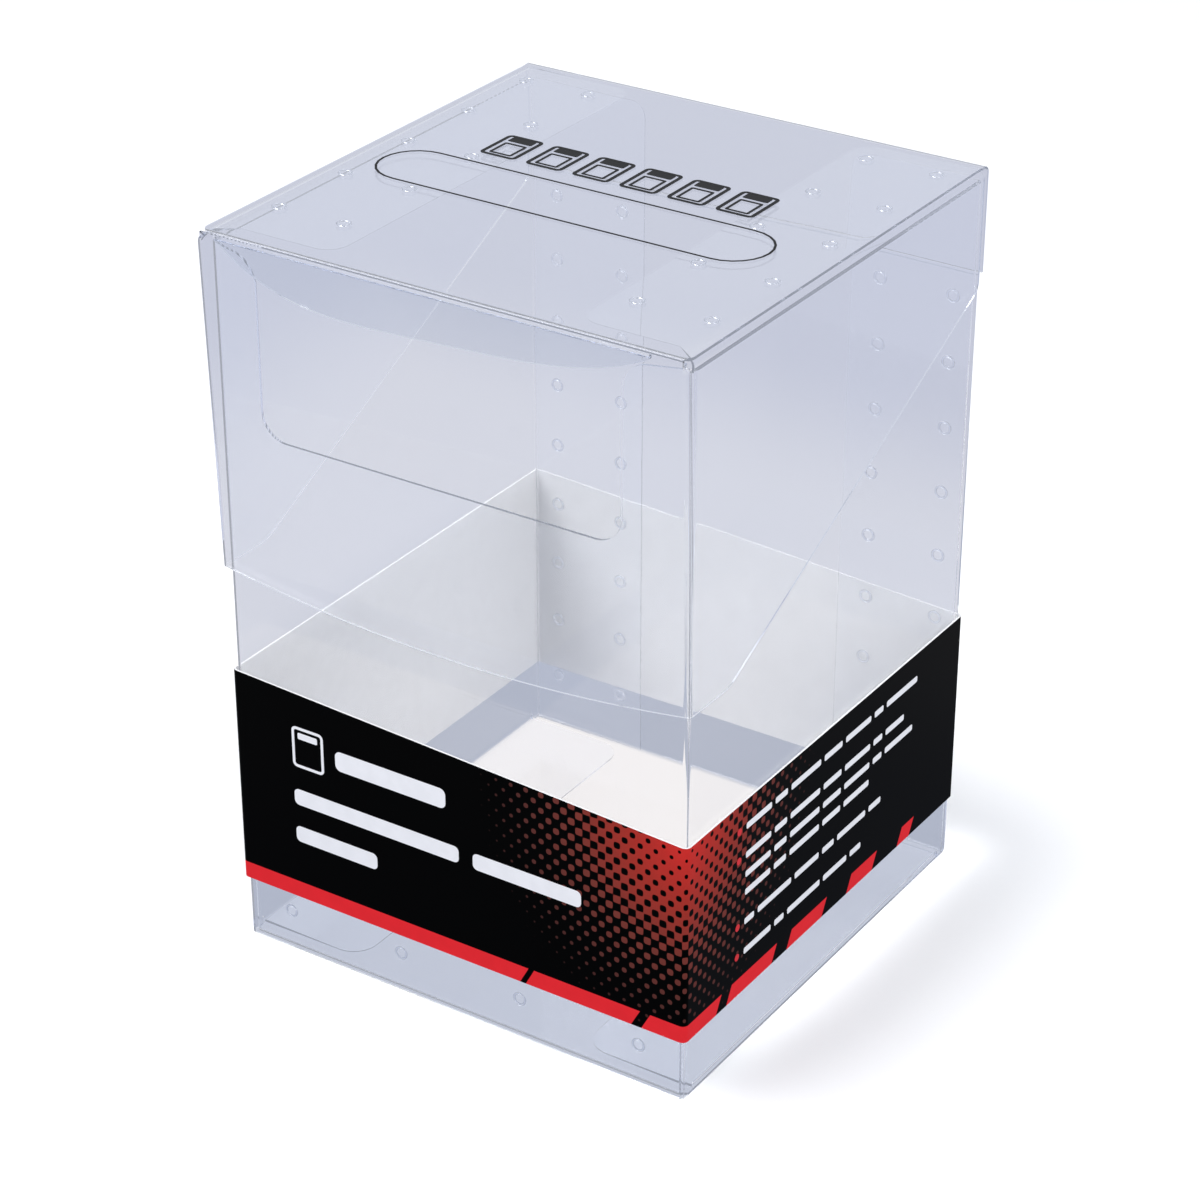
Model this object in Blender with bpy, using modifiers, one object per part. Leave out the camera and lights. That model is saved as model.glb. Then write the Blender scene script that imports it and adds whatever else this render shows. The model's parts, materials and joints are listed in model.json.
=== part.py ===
"""Clear storage box for graded cards, folded from thin plastic sheet.

The body is four upright walls on a folded bottom. A hood lid turns on a crease in the back wall, a curved
locking lip hangs from the fold at the lid's front edge, and a printed paper band slides over the body.

Frame: metres, +Z up, the front wall faces -Y. The origin is on the ground, in the middle of the body.
"""

import math

import bmesh
import bpy
from mathutils import Matrix, Vector

MM = 0.001

# ---------------------------------------------------------------- driving dimensions
BODY_WIDTH = 95 * MM  # across the outside of the side walls
BODY_DEPTH = 95 * MM  # from the outside of the front wall to the outside of the rear flanges
HEIGHT = 142 * MM  # ground to the top of the shut lid
SHEET = 0.5 * MM  # clear plastic sheet
BOARD = 0.35 * MM  # printed board of the band
LAYER_GAP = 0.3 * MM  # between two layers that lie on each other, and across a fold

REAR_FLANGE_WIDTH = 25.5 * MM  # side sheets folded in behind the back panel
DUST_FLAP_WIDTH = 23 * MM
DUST_FLAP_SETBACK = 2 * MM  # between a dust flap's end and the wall it points at
DUST_FLAP_CORNER = 5 * MM
GLUE_FLAP_HEIGHT = 15 * MM  # bottom panel's flap, up the inside of the front wall

LEFT_EAR_WIDTH = 9 * MM  # what the thumb cut leaves of the front wall on its left
RIGHT_EAR_WIDTH = 13 * MM
EAR_SLOPE = 1.8 * MM  # an ear's top falls by this towards the thumb cut
EAR_CORNER = 5 * MM
CUT_DROP = 37 * MM  # from the lid's top to the floor of the thumb cut
CUT_CORNER = 5 * MM
EAR_TOP_CLEARANCE = 1.4 * MM  # ears below the lid's inner layers
SIDE_TOP_CLEARANCE = 1.7 * MM  # side walls and rear flanges below the lid's inner layers

HINGE_DROP = 20.5 * MM  # from the lid's top to its crease
LID_SIDE_GAP = 0.5 * MM  # between a side wall and the lid's wing
FRONT_SWING_CLEARANCE = 0.87 * MM  # between the ears and the lid's front as it opens
FRONT_EDGE_GAP = 0.7 * MM  # between the front wall and the lid's lower front edge
FRONT_FLAP_LENGTH = 64.2 * MM  # from the lid's top to the front flap's corners
FRONT_FLAP_BULGE = 4 * MM  # its lower edge dips by this in the middle
WING_FOOT_WIDTH = 9 * MM  # level stretch of a wing's lower edge, behind the front flap
WING_REAR_DROP = 23 * MM  # from the lid's top to a wing's rear lower corner
WING_REAR_SETBACK = 1 * MM  # between a wing's rear edge and the lid's back flap
WING_FOOT_CORNER = 6 * MM
WING_REAR_CORNER = 2.5 * MM
TOP_FLANGE_WIDTH = 24 * MM  # a wing's flange, welded under the lid's top panel
TOP_FLANGE_SETBACK = 6 * MM  # room for the locking lip in front of it
TOP_FLANGE_CORNER = 4 * MM

LIP_DEPTH = 9.5 * MM
LIP_END_OVERLAP = 6.5 * MM  # the lip's ends reach past the thumb cut by this
LIP_TILT = math.radians(15)  # the lip hangs with its free edge inwards
LIP_FULLNESS = 4  # power of the curve of its free edge

BAND_BOTTOM = 12.8 * MM
BAND_TO_LID = 17 * MM  # from the band's top on the left to the lid's lower edge
BAND_TOP_FALL = 4.5 * MM  # the band's top falls by this from left to right
BAND_CORNER = 0.8 * MM

CORNER_STEPS = 6
LIP_STEPS = 36
EDGE_STEPS = 24

# ---------------------------------------------------------------- sizes that follow
HALF_WIDTH = BODY_WIDTH / 2
HALF_DEPTH = BODY_DEPTH / 2
FLOOR_TOP = SHEET + LAYER_GAP  # walls and dust flaps start here
BACK_INNER = HALF_DEPTH + LAYER_GAP  # inner face of the back panel
BACK_OUTER = BACK_INNER + SHEET
HINGE_Z = HEIGHT - HINGE_DROP
LID_LAYERS = 2 * SHEET + LAYER_GAP  # top panel and the wings' flanges under it
UNDER_TOP_PANEL = HEIGHT - SHEET - LAYER_GAP
EAR_TOP = HEIGHT - LID_LAYERS - EAR_TOP_CLEARANCE
SIDE_TOP = HEIGHT - LID_LAYERS - SIDE_TOP_CLEARANCE
CUT_LEFT = -HALF_WIDTH + LEFT_EAR_WIDTH
CUT_RIGHT = HALF_WIDTH - RIGHT_EAR_WIDTH
CUT_BOTTOM = HEIGHT - CUT_DROP

WING_INNER = HALF_WIDTH + LID_SIDE_GAP
WING_OUTER = WING_INNER + SHEET
# A flap that turns about the hinge comes in by the rise squared over twice the reach before it is over the ears.
FRONT_SWING = (EAR_TOP - HINGE_Z) ** 2 / (2 * (HALF_DEPTH + BACK_OUTER))
FRONT_TOP_Y = -(HALF_DEPTH + FRONT_SWING + FRONT_SWING_CLEARANCE + SHEET)
FRONT_EDGE_Y = -(HALF_DEPTH + FRONT_EDGE_GAP + SHEET)
FRONT_TILT = math.atan2(FRONT_EDGE_Y - FRONT_TOP_Y, FRONT_FLAP_LENGTH)
LID_LOW = HEIGHT - FRONT_FLAP_LENGTH - FRONT_FLAP_BULGE

LIP_CENTRE = (CUT_LEFT + CUT_RIGHT) / 2
LIP_HALF_WIDTH = (CUT_RIGHT - CUT_LEFT) / 2 + LIP_END_OVERLAP
LIP_FOLD_Y = FRONT_TOP_Y + 1.5 * SHEET + LAYER_GAP
LIP_FOLD_Z = UNDER_TOP_PANEL - SHEET / 2

BAND_TOP_LEFT = LID_LOW - BAND_TO_LID
BAND_TOP_RIGHT = BAND_TOP_LEFT - BAND_TOP_FALL

# ---------------------------------------------------------------- directions
FLAT = (0.0, 0.0, 0.0)  # outline in x and y, thickness along z
FACING_FRONT = (math.radians(90), 0.0, 0.0)  # outline in x and z, thickness along y
FACING_SIDE = (math.radians(90), 0.0, math.radians(90))  # outline in y and z, thickness along x


# ---------------------------------------------------------------- scene helpers
def clear_scene():
    for obj in list(bpy.data.objects):
        bpy.data.objects.remove(obj)


def new_collection(name):
    collection = bpy.data.collections.new(name)
    bpy.context.scene.collection.children.link(collection)
    return collection


def finish(name, colour, roughness, alpha=1.0):
    """A Principled material for one piece."""
    material = bpy.data.materials.new(name)
    material.use_nodes = True
    shader = material.node_tree.nodes["Principled BSDF"]
    shader.inputs["Base Color"].default_value = (*colour, 1.0)
    shader.inputs["Roughness"].default_value = roughness
    shader.inputs["Metallic"].default_value = 0.0
    shader.inputs["Alpha"].default_value = alpha
    return material


def clear_plastic(piece):
    return finish(piece + "_plastic", (0.64, 0.69, 0.78), 0.08, 0.35)


def black_print(piece):
    return finish(piece + "_print", (0.01, 0.01, 0.01), 0.35)


def axis_marker(name, place, collection, parent=None):
    """An empty on a joint's axis, which the pieces that move are parented to."""
    marker = bpy.data.objects.new(name, None)
    marker.empty_display_size = 10 * MM
    collection.objects.link(marker)
    put(marker, place, parent)
    return marker


def world_place(obj):
    """Where an unturned chain of parents puts the object's origin."""
    place = obj.location.copy()
    while obj.parent:
        obj = obj.parent
        place += obj.location
    return place


def put(obj, place, parent=None):
    """Places an object by a point of the shared frame, whatever it is parented to."""
    obj.parent = parent
    obj.location = Vector(place) - (world_place(parent) if parent else Vector())


# ---------------------------------------------------------------- shape helpers
def box(name, low, high, collection, parent=None):
    """A plain panel between two corners, with its origin in its middle."""
    low, high = Vector(low), Vector(high)
    shape = bmesh.new()
    bmesh.ops.create_cube(shape, size=1.0)
    bmesh.ops.scale(shape, vec=high - low, verts=shape.verts)
    mesh = bpy.data.meshes.new(name)
    shape.to_mesh(mesh)
    shape.free()
    obj = bpy.data.objects.new(name, mesh)
    collection.objects.link(obj)
    obj.data.materials.append(clear_plastic(name))
    put(obj, (low + high) / 2, parent)
    return obj


def rounded(corners):
    """The outline through (x, y, radius) corners, each rounded by an arc of its radius."""
    outline = []
    count = len(corners)
    for index, (x, y, radius) in enumerate(corners):
        here = Vector((x, y))
        if radius == 0:
            outline.append(here)
            continue
        before = (Vector(corners[index - 1][:2]) - here).normalized()
        after = (Vector(corners[(index + 1) % count][:2]) - here).normalized()
        half = before.angle(after) / 2
        centre = here + (before + after).normalized() * radius / math.sin(half)
        start = here + before * radius / math.tan(half) - centre
        end = here + after * radius / math.tan(half) - centre
        turn = start.angle_signed(end)
        for step in range(CORNER_STEPS + 1):
            # angle_signed is clockwise, and Matrix.Rotation is the other way.
            outline.append(centre + Matrix.Rotation(-turn * step / CORNER_STEPS, 2) @ start)
    return outline


def panel(name, outline, facing, place, collection, parent=None):
    """A sheet of plastic cut to an outline. The place is where the outline's (0, 0) goes, at mid thickness."""
    curve = bpy.data.curves.new(name, "CURVE")
    curve.dimensions = "2D"
    curve.fill_mode = "BOTH"
    curve.extrude = SHEET / 2
    spline = curve.splines.new("POLY")
    spline.points.add(len(outline) - 1)
    for point, (x, y) in zip(spline.points, outline):
        point.co = (x, y, 0.0, 1.0)
    spline.use_cyclic_u = True
    obj = bpy.data.objects.new(name, curve)
    obj.rotation_euler = facing
    collection.objects.link(obj)
    curve.materials.append(clear_plastic(name))
    put(obj, place, parent)
    return obj


# ---------------------------------------------------------------- body
def front_panel(collection):
    """Front wall, with the thumb cut between its two ears."""
    inner_top = EAR_TOP - EAR_SLOPE
    outline = rounded(
        [
            (-HALF_WIDTH, FLOOR_TOP, 0),
            (HALF_WIDTH, FLOOR_TOP, 0),
            (HALF_WIDTH, EAR_TOP, 0),
            (CUT_RIGHT, inner_top, EAR_CORNER),
            (CUT_RIGHT, CUT_BOTTOM, CUT_CORNER),
            (CUT_LEFT, CUT_BOTTOM, CUT_CORNER),
            (CUT_LEFT, inner_top, EAR_CORNER),
            (-HALF_WIDTH, EAR_TOP, 0),
        ]
    )
    panel("front_panel", outline, FACING_FRONT, (0, -HALF_DEPTH + SHEET / 2, 0), collection)


def side_walls(collection):
    """Left and right walls, and the flanges that each folds in behind the back panel."""
    front = -HALF_DEPTH + SHEET + LAYER_GAP
    back = HALF_DEPTH - SHEET - LAYER_GAP
    for side, name in ((-1, "left"), (1, "right")):
        inner, outer = side * (HALF_WIDTH - SHEET), side * HALF_WIDTH
        box(
            name + "_side_panel",
            (min(inner, outer), front, FLOOR_TOP),
            (max(inner, outer), back, SIDE_TOP),
            collection,
        )
        inner = side * (HALF_WIDTH - REAR_FLANGE_WIDTH)
        box(
            name + "_rear_flange",
            (min(inner, outer), HALF_DEPTH - SHEET, FLOOR_TOP),
            (max(inner, outer), HALF_DEPTH, SIDE_TOP),
            collection,
        )


def bottom(collection):
    """Bottom panel, the two dust flaps on it and the flap that joins it to the front wall."""
    box("bottom_panel", (-HALF_WIDTH, -HALF_DEPTH, 0), (HALF_WIDTH, HALF_DEPTH, SHEET), collection)
    inside = HALF_WIDTH - SHEET - LAYER_GAP
    front = -HALF_DEPTH + 2 * (SHEET + LAYER_GAP) + DUST_FLAP_SETBACK
    back = HALF_DEPTH - SHEET - LAYER_GAP - DUST_FLAP_SETBACK
    for side, name in ((-1, "left"), (1, "right")):
        root, edge = side * inside, side * (HALF_WIDTH - DUST_FLAP_WIDTH)
        outline = rounded(
            [
                (root, front, 0),
                (edge, front, DUST_FLAP_CORNER),
                (edge, back, DUST_FLAP_CORNER),
                (root, back, 0),
            ]
        )
        panel(name + "_dust_flap", outline, FLAT, (0, 0, FLOOR_TOP + SHEET / 2), collection)
    flap_front = -HALF_DEPTH + SHEET + LAYER_GAP
    box(
        "bottom_glue_flap",
        (-inside, flap_front, FLOOR_TOP),
        (inside, flap_front + SHEET, FLOOR_TOP + GLUE_FLAP_HEIGHT),
        collection,
    )


def back_panel(collection):
    """Outer back sheet, welded to the rear flanges, up to the lid's crease."""
    box(
        "back_panel",
        (-HALF_WIDTH, BACK_INNER, 0),
        (HALF_WIDTH, BACK_OUTER, HINGE_Z - LAYER_GAP / 2),
        collection,
    )


# ---------------------------------------------------------------- lid
def front_inner_y(z):
    """Inner face of the lid's sloping front flap at a height."""
    return FRONT_TOP_Y + SHEET + (HEIGHT - z) * math.tan(FRONT_TILT)


def lid_back_and_top(collection, hinge):
    """The back sheet goes on above the crease as the lid's back flap and its top panel."""
    box(
        "lid_back_flap",
        (-WING_OUTER, BACK_INNER, HINGE_Z + LAYER_GAP / 2),
        (WING_OUTER, BACK_OUTER, UNDER_TOP_PANEL),
        collection,
        hinge,
    )
    box(
        "lid_top_panel",
        (-WING_OUTER, FRONT_TOP_Y, HEIGHT - SHEET),
        (WING_OUTER, BACK_OUTER, HEIGHT),
        collection,
        hinge,
    )


def lid_front_flap(collection, hinge):
    """Sloping front of the hood, with a lower edge that dips in an arc between its corners."""
    corner = -(FRONT_FLAP_LENGTH / math.cos(FRONT_TILT))
    top = -(HEIGHT - UNDER_TOP_PANEL) / math.cos(FRONT_TILT)
    outline = [Vector((WING_OUTER, top)), Vector((-WING_OUTER, top))]
    for step in range(EDGE_STEPS + 1):
        share = 2 * step / EDGE_STEPS - 1
        outline.append(Vector((share * WING_OUTER, corner - FRONT_FLAP_BULGE * (1 - share**2))))
    place = (0, FRONT_TOP_Y + SHEET / 2, HEIGHT)
    facing = (math.radians(90) + FRONT_TILT, 0.0, 0.0)
    panel("lid_front_flap", outline, facing, place, collection, hinge)


def lid_wings(collection, hinge):
    """The hood's two sides, cut on a diagonal, and their flanges under the top panel."""
    foot = HEIGHT - FRONT_FLAP_LENGTH
    foot_front = front_inner_y(foot) + LAYER_GAP
    rear = BACK_INNER - WING_REAR_SETBACK
    outline = rounded(
        [
            (front_inner_y(UNDER_TOP_PANEL) + LAYER_GAP, UNDER_TOP_PANEL, 0),
            (foot_front, foot, 0),
            (foot_front + WING_FOOT_WIDTH, foot, WING_FOOT_CORNER),
            (rear, HEIGHT - WING_REAR_DROP, WING_REAR_CORNER),
            (rear, UNDER_TOP_PANEL, 0),
        ]
    )
    flange_front = FRONT_TOP_Y + TOP_FLANGE_SETBACK
    flange_back = BACK_INNER - LAYER_GAP
    for side, name in ((-1, "left"), (1, "right")):
        place = (side * (WING_INNER + SHEET / 2), 0, 0)
        panel(name + "_lid_wing", outline, FACING_SIDE, place, collection, hinge)
        root, edge = side * (WING_INNER - LAYER_GAP), side * (WING_INNER - TOP_FLANGE_WIDTH)
        flange = rounded(
            [
                (root, flange_front, 0),
                (edge, flange_front, TOP_FLANGE_CORNER),
                (edge, flange_back, TOP_FLANGE_CORNER),
                (root, flange_back, 0),
            ]
        )
        place = (0, 0, UNDER_TOP_PANEL - SHEET / 2)
        panel(name + "_wing_flange", flange, FLAT, place, collection, hinge)


def locking_lip(collection, fold):
    """Curved flap that hangs from the fold at the lid's front edge, over the thumb cut."""
    outline = []
    for step in range(LIP_STEPS + 1):
        share = 2 * step / LIP_STEPS - 1
        depth = LIP_DEPTH * (1 - abs(share) ** LIP_FULLNESS)
        outline.append(Vector((LIP_CENTRE + share * LIP_HALF_WIDTH, -depth)))
    facing = (math.radians(90) + LIP_TILT, 0.0, 0.0)
    panel("locking_lip", outline, facing, (0, LIP_FOLD_Y, LIP_FOLD_Z), collection, fold)


# ---------------------------------------------------------------- band
def paper_band(collection, slide):
    """Printed board folded round the body and glued to itself, with a top edge that slopes to the right."""
    inner_x = HALF_WIDTH + LAYER_GAP
    inner_front = -(HALF_DEPTH + LAYER_GAP)
    inner_back = BACK_OUTER + LAYER_GAP
    middle = Vector((0, (inner_front + inner_back) / 2, (BAND_BOTTOM + BAND_TOP_LEFT) / 2))
    size = Vector((2 * inner_x, inner_back - inner_front, BAND_TOP_LEFT - BAND_BOTTOM))
    shape = bmesh.new()
    bmesh.ops.create_cube(shape, size=1.0)
    bmesh.ops.scale(shape, vec=size, verts=shape.verts)
    ends = [face for face in shape.faces if abs(face.normal.z) > 0.5]
    bmesh.ops.delete(shape, geom=ends, context="FACES_ONLY")
    for vert in shape.verts:
        if vert.co.x > 0 and vert.co.z > 0:
            vert.co.z -= BAND_TOP_FALL
    folds = [edge for edge in shape.edges if not edge.is_boundary]
    bmesh.ops.bevel(
        shape,
        geom=folds,
        offset=BAND_CORNER,
        offset_type="OFFSET",
        affect="EDGES",
        segments=4,
        profile=0.5,
        material=-1,
    )
    mesh = bpy.data.meshes.new("paper_band")
    shape.to_mesh(mesh)
    shape.free()
    obj = bpy.data.objects.new("paper_band", mesh)
    collection.objects.link(obj)
    wall = obj.modifiers.new("board", "SOLIDIFY")
    wall.thickness = BOARD
    wall.offset = 1.0
    wall.use_even_offset = True
    mesh.materials.append(black_print("paper_band"))
    put(obj, middle, slide)
    return obj


def main():
    clear_scene()
    collection = new_collection("graded_card_box")
    front_panel(collection)
    side_walls(collection)
    bottom(collection)
    back_panel(collection)
    hinge = axis_marker("lid_hinge_axis", (0, BACK_OUTER, HINGE_Z), collection)
    lid_back_and_top(collection, hinge)
    lid_front_flap(collection, hinge)
    lid_wings(collection, hinge)
    fold = axis_marker("lip_fold_axis", (0, LIP_FOLD_Y, LIP_FOLD_Z), collection, hinge)
    locking_lip(collection, fold)
    slide = axis_marker("band_slide_axis", (0, 0, BAND_BOTTOM), collection)
    paper_band(collection, slide)


main()
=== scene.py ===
"""Looks for a clear box for graded cards: three folded plastic sheets, a printed band and a little ink."""

import json
import logging
import math
from dataclasses import dataclass, field
from enum import Enum
from typing import Callable, Iterable, Sequence

import bmesh
import bpy
from mathutils import Matrix, Vector


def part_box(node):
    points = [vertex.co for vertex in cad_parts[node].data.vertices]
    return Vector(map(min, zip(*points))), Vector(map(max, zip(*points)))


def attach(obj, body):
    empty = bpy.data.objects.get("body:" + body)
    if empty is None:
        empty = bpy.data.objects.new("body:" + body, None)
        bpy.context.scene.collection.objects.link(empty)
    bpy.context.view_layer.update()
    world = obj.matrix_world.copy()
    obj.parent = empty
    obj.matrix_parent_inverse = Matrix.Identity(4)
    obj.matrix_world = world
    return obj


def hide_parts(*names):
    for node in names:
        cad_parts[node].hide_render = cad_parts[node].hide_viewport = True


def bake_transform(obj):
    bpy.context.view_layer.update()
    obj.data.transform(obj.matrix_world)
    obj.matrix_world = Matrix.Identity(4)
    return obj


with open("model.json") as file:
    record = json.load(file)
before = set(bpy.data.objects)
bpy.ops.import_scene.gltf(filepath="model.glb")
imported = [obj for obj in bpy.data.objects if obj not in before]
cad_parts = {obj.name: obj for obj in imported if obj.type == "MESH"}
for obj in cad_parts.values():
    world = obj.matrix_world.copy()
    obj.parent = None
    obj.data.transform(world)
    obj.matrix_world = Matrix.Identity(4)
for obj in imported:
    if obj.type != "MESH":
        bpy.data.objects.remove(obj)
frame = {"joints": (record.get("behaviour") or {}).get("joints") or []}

LOG = logging.getLogger("card_box")
MM = 0.001
INK = 0.04 * MM  # thickness of a print
NEAR = 1e-6  # points closer than this stand at one place
QUARTER = math.radians(90)
Pair = tuple[float, float]
Corner = tuple[float, float, float]
Colour = tuple[float, float, float]
Material = bpy.types.Material
Finishes = tuple[Material, Material]  # of a sheet's faces and of its cut edges
Place = Callable[[Vector], Vector]  # where a flat point goes
Bulge = Callable[[float], float]  # how far a point of an edge moves, from its share of the way, -1 to 1
Shape = bmesh.types.BMesh
Vert = bmesh.types.BMVert
Node = bpy.types.Node
Socket = bpy.types.NodeSocket
Object = bpy.types.Object


def srgb(*channels: int) -> Colour:
    """A display colour, 0 to 255 a channel, as linear light."""
    shares = (channel / 255 for channel in channels)
    return tuple(s / 12.92 if s <= 0.04045 else ((s + 0.055) / 1.055) ** 2.4 for s in shares)


# ---------------------------------------------------------------- node trees
class Nodes:
    """Adds nodes to one tree and joins them. A value is a number, a colour or another node's output."""

    def __init__(self, tree: bpy.types.NodeTree) -> None:
        """Keeps the tree."""
        self.tree = tree

    def feed(self, socket: Socket, value: object) -> None:
        """Joins an output to a socket, or sets the socket's own value.

        Args:
            socket: the input.
            value: an output, a number or a colour.
        """
        if isinstance(value, Socket):
            self.tree.links.new(value, socket)
        else:
            socket.default_value = (*value, 1.0) if socket.type == "RGBA" else value

    def add(self, kind: str, settings: dict[str, object] | None = None, **values: object) -> Node:
        """A new node.

        Args:
            kind: its type name.
            settings: its own properties.
            values: its inputs by name, with _ where the name has a space.

        Returns:
            The node.
        """
        node = self.tree.nodes.new(kind)
        for name, value in (settings or {}).items():
            setattr(node, name, value)
        for name, value in values.items():
            self.feed(node.inputs[name.replace("_", " ")], value)
        return node

    def fill(self, node: Node, values: dict[int, object]) -> Node:
        """Feeds a node's inputs by their places in its list.

        Args:
            node: the node.
            values: what each input takes.

        Returns:
            The same node.
        """
        for place, value in values.items():
            self.feed(node.inputs[place], value)
        return node

    def place(self) -> Socket:
        """Object coordinates."""
        return self.add("ShaderNodeTexCoord").outputs["Object"]

    def maths(self, operation: str, *values: object) -> Socket:
        """The output of a Math node with its inputs in order."""
        node = self.add("ShaderNodeMath", {"operation": operation})
        return self.fill(node, dict(enumerate(values))).outputs[0]

    def ramp(self, value: Socket, low: float, high: float) -> Socket:
        """A value taken smoothly to 0 at low and to 1 at high."""
        smooth = {"interpolation_type": "SMOOTHSTEP"}
        node = self.add("ShaderNodeMapRange", smooth, Value=value, From_Min=low, From_Max=high)
        return node.outputs["Result"]

    def mix(self, share: object, first: object, second: object) -> Socket:
        """The first colour, turned to the second by a share."""
        node = self.add("ShaderNodeMix", {"data_type": "RGBA"})
        return self.fill(node, {0: share, 6: first, 7: second}).outputs[2]

    def blend(self, share: Socket, first: Node, second: Node) -> Node:
        """The first shader, turned to the second by a share."""
        values = {0: share, 1: first.outputs[0], 2: second.outputs[0]}
        return self.fill(self.add("ShaderNodeMixShader"), values)

    def paint(self, colour: object, roughness: float, specular: float) -> Node:
        """An opaque shader."""
        values = {"Base_Color": colour, "Roughness": roughness, "Specular_IOR_Level": specular}
        return self.add("ShaderNodeBsdfPrincipled", **values)

    def noise(self, scale: object, detail: float) -> Socket:
        """Fractal noise over the piece, with scale cells a metre."""
        return self.add("ShaderNodeTexNoise", Vector=self.place(), Scale=scale, Detail=detail).outputs["Fac"]

    def effect(self, effect: "Effect", **values: object) -> Socket:
        """The output of a shared effect, with its inputs by name."""
        group = {"node_tree": bpy.data.node_groups[effect.value]}
        return self.add("ShaderNodeGroup", group, **values).outputs[0]

    def split(self, vector: Socket) -> list[Socket]:
        """The three parts of a vector."""
        return list(self.add("ShaderNodeSeparateXYZ", Vector=vector).outputs)

    def finish(self, shader: Node) -> None:
        """Joins the last shader to the material's surface."""
        self.add("ShaderNodeOutputMaterial", Surface=shader.outputs[0])


def new_material(name: str) -> tuple[Material, Nodes]:
    """An empty node material.

    Args:
        name: its name.

    Returns:
        The material and its tree's helper.
    """
    material = bpy.data.materials.new(name)
    material.use_nodes = True
    material.node_tree.nodes.clear()
    return material, Nodes(material.node_tree)


# ---------------------------------------------------------------- effects that several finishes share
class Effect(Enum):
    """Surface effects kept as node groups."""

    WAVINESS = "sheet_waviness"
    CLOUDING = "clouding"


def new_group(effect: Effect, inputs: dict[str, str], output: tuple[str, str]) -> tuple[Nodes, Node, Node]:
    """An empty node group with its sockets.

    Args:
        effect: which effect it is.
        inputs: socket types by name.
        output: name and type of its only output.

    Returns:
        The helper, the group's input node and its output node.
    """
    tree = bpy.data.node_groups.new(effect.value, "ShaderNodeTree")
    for name, kind in inputs.items():
        tree.interface.new_socket(name, in_out="INPUT", socket_type=kind)
    tree.interface.new_socket(output[0], in_out="OUTPUT", socket_type=output[1])
    nodes = Nodes(tree)
    return nodes, nodes.add("NodeGroupInput"), nodes.add("NodeGroupOutput")


def build_waviness() -> None:
    """Slow waves that folded sheet is left with, and the fine grain of its rolled surface, as one height."""
    nodes, given, result = new_group(
        Effect.WAVINESS,
        {"Waves": "NodeSocketFloat", "Grain": "NodeSocketFloat", "Grain Share": "NodeSocketFloat"},
        ("Height", "NodeSocketFloat"),
    )
    waves = nodes.noise(given.outputs["Waves"], 1.0)
    grain = nodes.noise(given.outputs["Grain"], 2.0)
    height = nodes.maths("MULTIPLY_ADD", grain, given.outputs["Grain Share"], waves)
    nodes.feed(result.inputs["Height"], height)


def build_clouding() -> None:
    """Uneven ink or board: a colour that turns darker in soft patches."""
    nodes, given, result = new_group(
        Effect.CLOUDING,
        {"Colour": "NodeSocketColor", "Depth": "NodeSocketFloat", "Patches": "NodeSocketFloat"},
        ("Colour", "NodeSocketColor"),
    )
    cloud = nodes.ramp(nodes.noise(given.outputs["Patches"], 3.0), 0.3, 0.7)
    dark = nodes.maths("MULTIPLY", cloud, given.outputs["Depth"])
    nodes.feed(result.inputs["Colour"], nodes.mix(dark, given.outputs["Colour"], (0.0, 0.0, 0.0)))


# ---------------------------------------------------------------- finishes
@dataclass(frozen=True)
class ClearPlastic:
    """Clear rigid sheet: tinted glass, faintly wavy and milky, which lets the lamps' light through. Its
    milkiness is a painted glow, a faint emission of painted light.
    """

    name: str
    tint: Colour
    roughness: float = 0.02
    index: float = 1.3
    waves: float = 40.0
    wave_depth: float = 0.12
    wave_height: float = 0.2 * MM
    grain: float = 900.0
    grain_share: float = 0.03
    haze_glow: Colour = (0.80, 0.84, 0.95)
    haze_glow_strength: float = 0.013

    def make(self) -> Material:
        """Builds the finish.

        Returns:
            The material.
        """
        material, nodes = new_material(self.name)
        values = {"Waves": self.waves, "Grain": self.grain, "Grain_Share": self.grain_share}
        height = nodes.effect(Effect.WAVINESS, **values)
        bump = nodes.add("ShaderNodeBump", Strength=self.wave_depth, Distance=self.wave_height, Height=height)
        skin = nodes.add(
            "ShaderNodeBsdfPrincipled",
            Base_Color=self.tint,
            Roughness=self.roughness,
            IOR=self.index,
            Transmission_Weight=1.0,
            # Painted light: a faint emission makes the sheet glow. It stands in for light scattered in the
            # milky plastic and lifts the sheet's dark fold lines.
            Emission_Color=self.haze_glow,
            Emission_Strength=self.haze_glow_strength,
            Normal=bump.outputs["Normal"],
        )
        clear = nodes.add("ShaderNodeBsdfTransparent")
        nodes.finish(nodes.blend(nodes.add("ShaderNodeLightPath").outputs["Is Shadow Ray"], skin, clear))
        return material


@dataclass(frozen=True)
class Matt:
    """A plain opaque finish with a faint unevenness, for ink and board."""

    name: str
    colour: Colour
    roughness: float = 0.5
    specular: float = 0.2
    uneven: float = 0.04
    patches: float = 400.0

    def make(self) -> Material:
        """Builds the finish.

        Returns:
            The material.
        """
        material, nodes = new_material(self.name)
        clouded = nodes.effect(Effect.CLOUDING, Colour=self.colour, Depth=self.uneven, Patches=self.patches)
        nodes.finish(nodes.paint(clouded, self.roughness, self.specular))
        return material


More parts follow.
